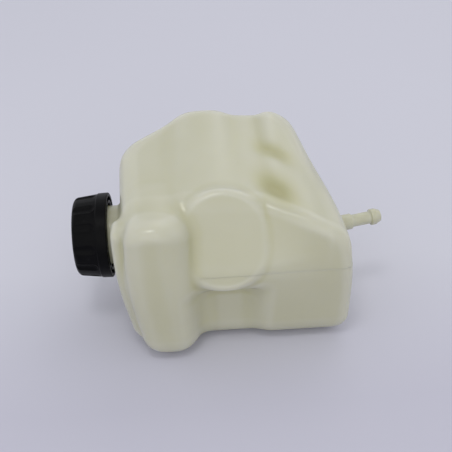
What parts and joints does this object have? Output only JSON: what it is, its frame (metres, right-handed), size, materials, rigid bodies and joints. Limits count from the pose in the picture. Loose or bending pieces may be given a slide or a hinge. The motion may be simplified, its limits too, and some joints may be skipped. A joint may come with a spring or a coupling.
{
  "type": "coolant expansion tank",
  "caption": "Blown translucent coolant expansion tank with a front lobe, a round boss, a screw cap with pressure and vacuum valves in a neck plug, and a barbed hose nipple.",
  "frame": {"origin": "the centre of the part's outline in plan, on the floor that the tank rests on as pictured", "axes": "+Z up as it lies in the picture; -X out of the filler neck through the cap; +X towards the hose nipple; -Y towards the side with the lobe and the round boss. Mounted in a vehicle, -X is up."},
  "size_m": [0.2258, 0.1523, 0.1297],
  "materials": {
    "tank_plastic": "milky translucent, satin, yellowed by use",
    "cap_plastic": "matte, moulded",
    "plug_plastic": "matte, moulded",
    "seal_rubber": "smooth",
    "plate_metal": "stainless sheet",
    "spring_steel": "drawn wire",
    "valve_brass": "turned"
  },
  "bodies": {
    "tank": {"tank_body": "tank_plastic"},
    "plug": {"valve_housing": "plug_plastic", "deck_gasket": "seal_rubber", "plug_ring": "seal_rubber", "spring_cover": "plug_plastic", "pressure_spring": "spring_steel"},
    "knob": {"cap_shell": "cap_plastic"},
    "pressure_valve": {"pressure_plate": "plate_metal", "pressure_seal": "seal_rubber", "vacuum_spring": "spring_steel"},
    "vacuum_valve": {"vacuum_valve": "valve_brass", "stem_washer": "plate_metal"}
  },
  "joints": [
    {"name": "cap_lift", "type": "slide", "parent": "tank", "child": "plug", "axis": [-1, 0, 0], "range_m": [0, 0.02601]},
    {"name": "cap_turn", "type": "hinge", "parent": "plug", "child": "knob", "pos_m": [-0.10711, -0.006, 0.068], "axis": [-1, 0, 0], "range_deg": [0, 1170]},
    {"name": "pressure_relief", "type": "slide", "parent": "plug", "child": "pressure_valve", "axis": [-1, 0, 0], "range_m": [0, 0.002], "stiffness_N_per_m": 2800, "deforming": ["pressure_spring"]},
    {"name": "vacuum_relief", "type": "slide", "parent": "pressure_valve", "child": "vacuum_valve", "axis": [1, 0, 0], "range_m": [0, 0.0015], "stiffness_N_per_m": 900, "deforming": ["vacuum_spring"]}
  ],
  "couplings": [
    {"joint": "cap_lift", "follows": "cap_turn", "m_per_rad": 0.0012732}
  ]
}
